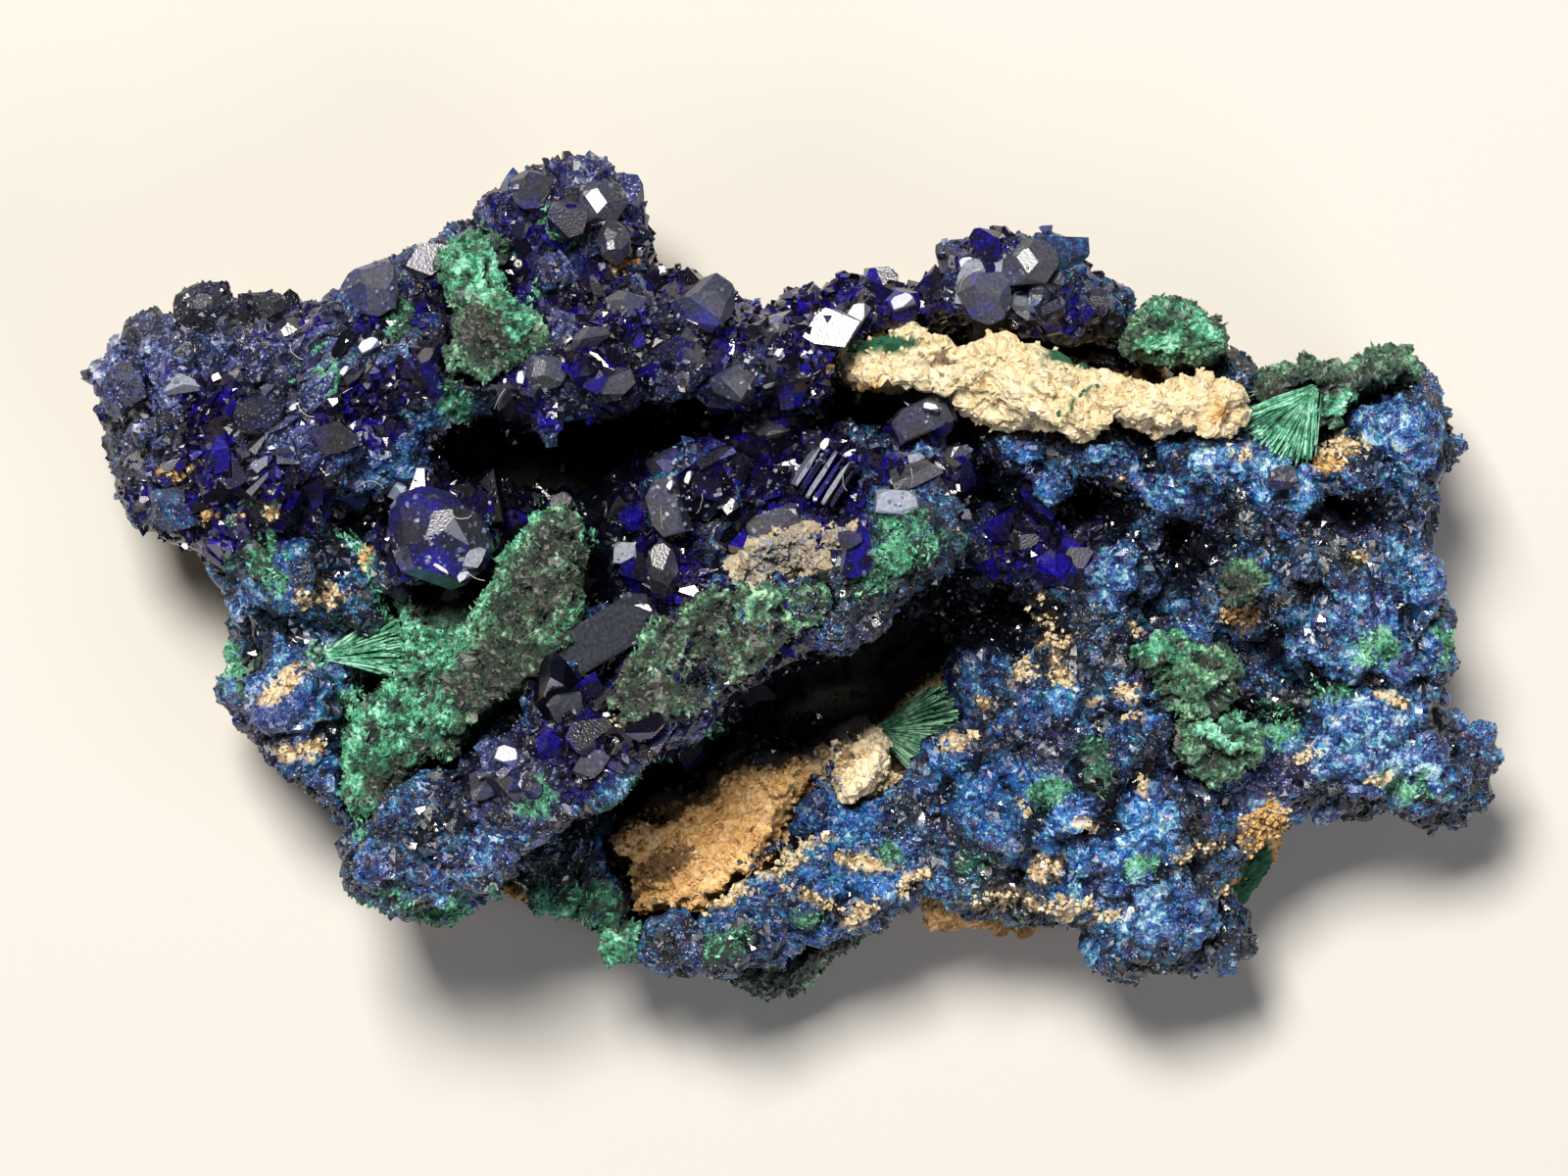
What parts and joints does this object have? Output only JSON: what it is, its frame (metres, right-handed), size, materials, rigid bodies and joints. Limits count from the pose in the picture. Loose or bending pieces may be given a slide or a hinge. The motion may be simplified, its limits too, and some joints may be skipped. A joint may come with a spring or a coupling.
{
  "type": "azurite and malachite mineral specimen",
  "caption": "Hand specimen of dark blue azurite crystals with green malachite on cream clay and ochre limonite rock, with caves under a slanting ledge.",
  "frame": {"origin": "on the surface it rests on, under the middle of its box, at the trimmed back of the rock", "axes": "+Z out of the crystal-covered display face, away from the trimmed back; +X along the specimen's length; +Y towards the long edge with the round knob"},
  "size_m": [0.0731, 0.0439, 0.028],
  "materials": {
    "limonite_clay": "porous earthy clay and limonite, matt, cream to ochre and dark brown",
    "azurite": "vitreous flat-faced crystals, near black blue to ultramarine, granular azure blue where fine grained",
    "malachite": "fibrous sprays and mossy crusts, silky mint green to dark green"
  },
  "bodies": {
    "root": {"matrix_rock": "limonite_clay", "azurite_crust": "azurite", "azurite_back_cluster": "azurite", "malachite_wall": "malachite", "malachite_ledge_skin": "malachite", "malachite_cap": "malachite", "malachite_back_mound": "malachite", "malachite_east_band": "malachite", "malachite_keel": "malachite", "malachite_tuft_upper": "malachite", "malachite_tuft_lower": "malachite", "malachite_tuft_small": "malachite", "malachite_south_foot": "malachite", "malachite_west_fan": "malachite", "malachite_cave_fan": "malachite", "malachite_east_fan": "malachite"}
  },
  "joints": []
}
